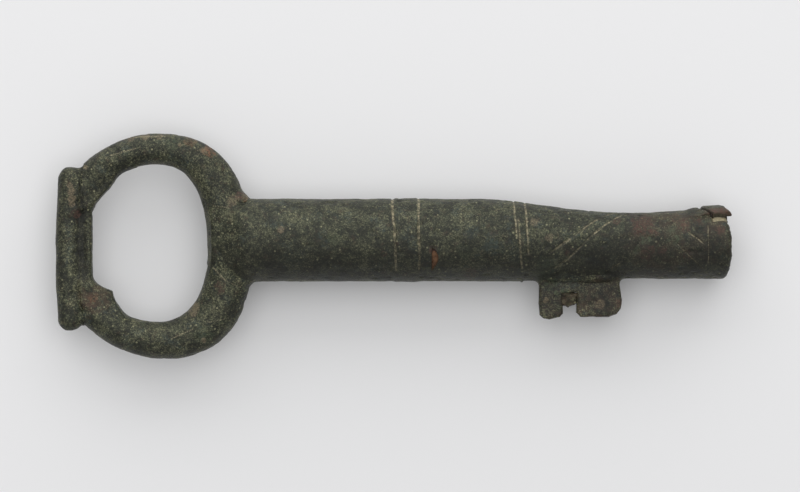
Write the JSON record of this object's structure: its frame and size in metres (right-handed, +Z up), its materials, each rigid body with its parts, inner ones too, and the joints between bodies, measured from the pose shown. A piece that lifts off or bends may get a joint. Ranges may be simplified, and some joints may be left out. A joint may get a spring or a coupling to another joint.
{
  "type": "key",
  "caption": "Corroded bronze key with a blind-bored round barrel, a ring bow closed by a cross bar, and a slotted bit for a pin lock.",
  "frame": {"origin": "centre of the bounding box's footprint, on the surface that the key lies on", "axes": "+X along the barrel towards its open mouth, +Y away from the bit, +Z up, across the key's flat side"},
  "size_m": [0.0798, 0.0266, 0.0099],
  "materials": {
    "barrel_bronze": "dark green-grey corroded bronze with pale speckle and red-brown patches",
    "bow_bronze": "dark green-grey corroded bronze, handled smooth",
    "bit_bronze": "dark corroded bronze, browner and rougher",
    "braze_metal": "brown-gold earthy seam metal, rough",
    "burial_crust": "dry brown earth and corrosion"
  },
  "bodies": {
    "root": {"barrel": "barrel_bronze", "bow_ring": "bow_bronze", "bow_bar": "bow_bronze", "bit": "bit_bronze", "slot_crust": "burial_crust", "bow_bead_upper": "braze_metal", "bow_bead_lower": "braze_metal", "bar_bead_upper": "braze_metal", "bar_bead_lower": "braze_metal", "bit_bead_front": "braze_metal", "bit_bead_back": "braze_metal"}
  },
  "joints": []
}
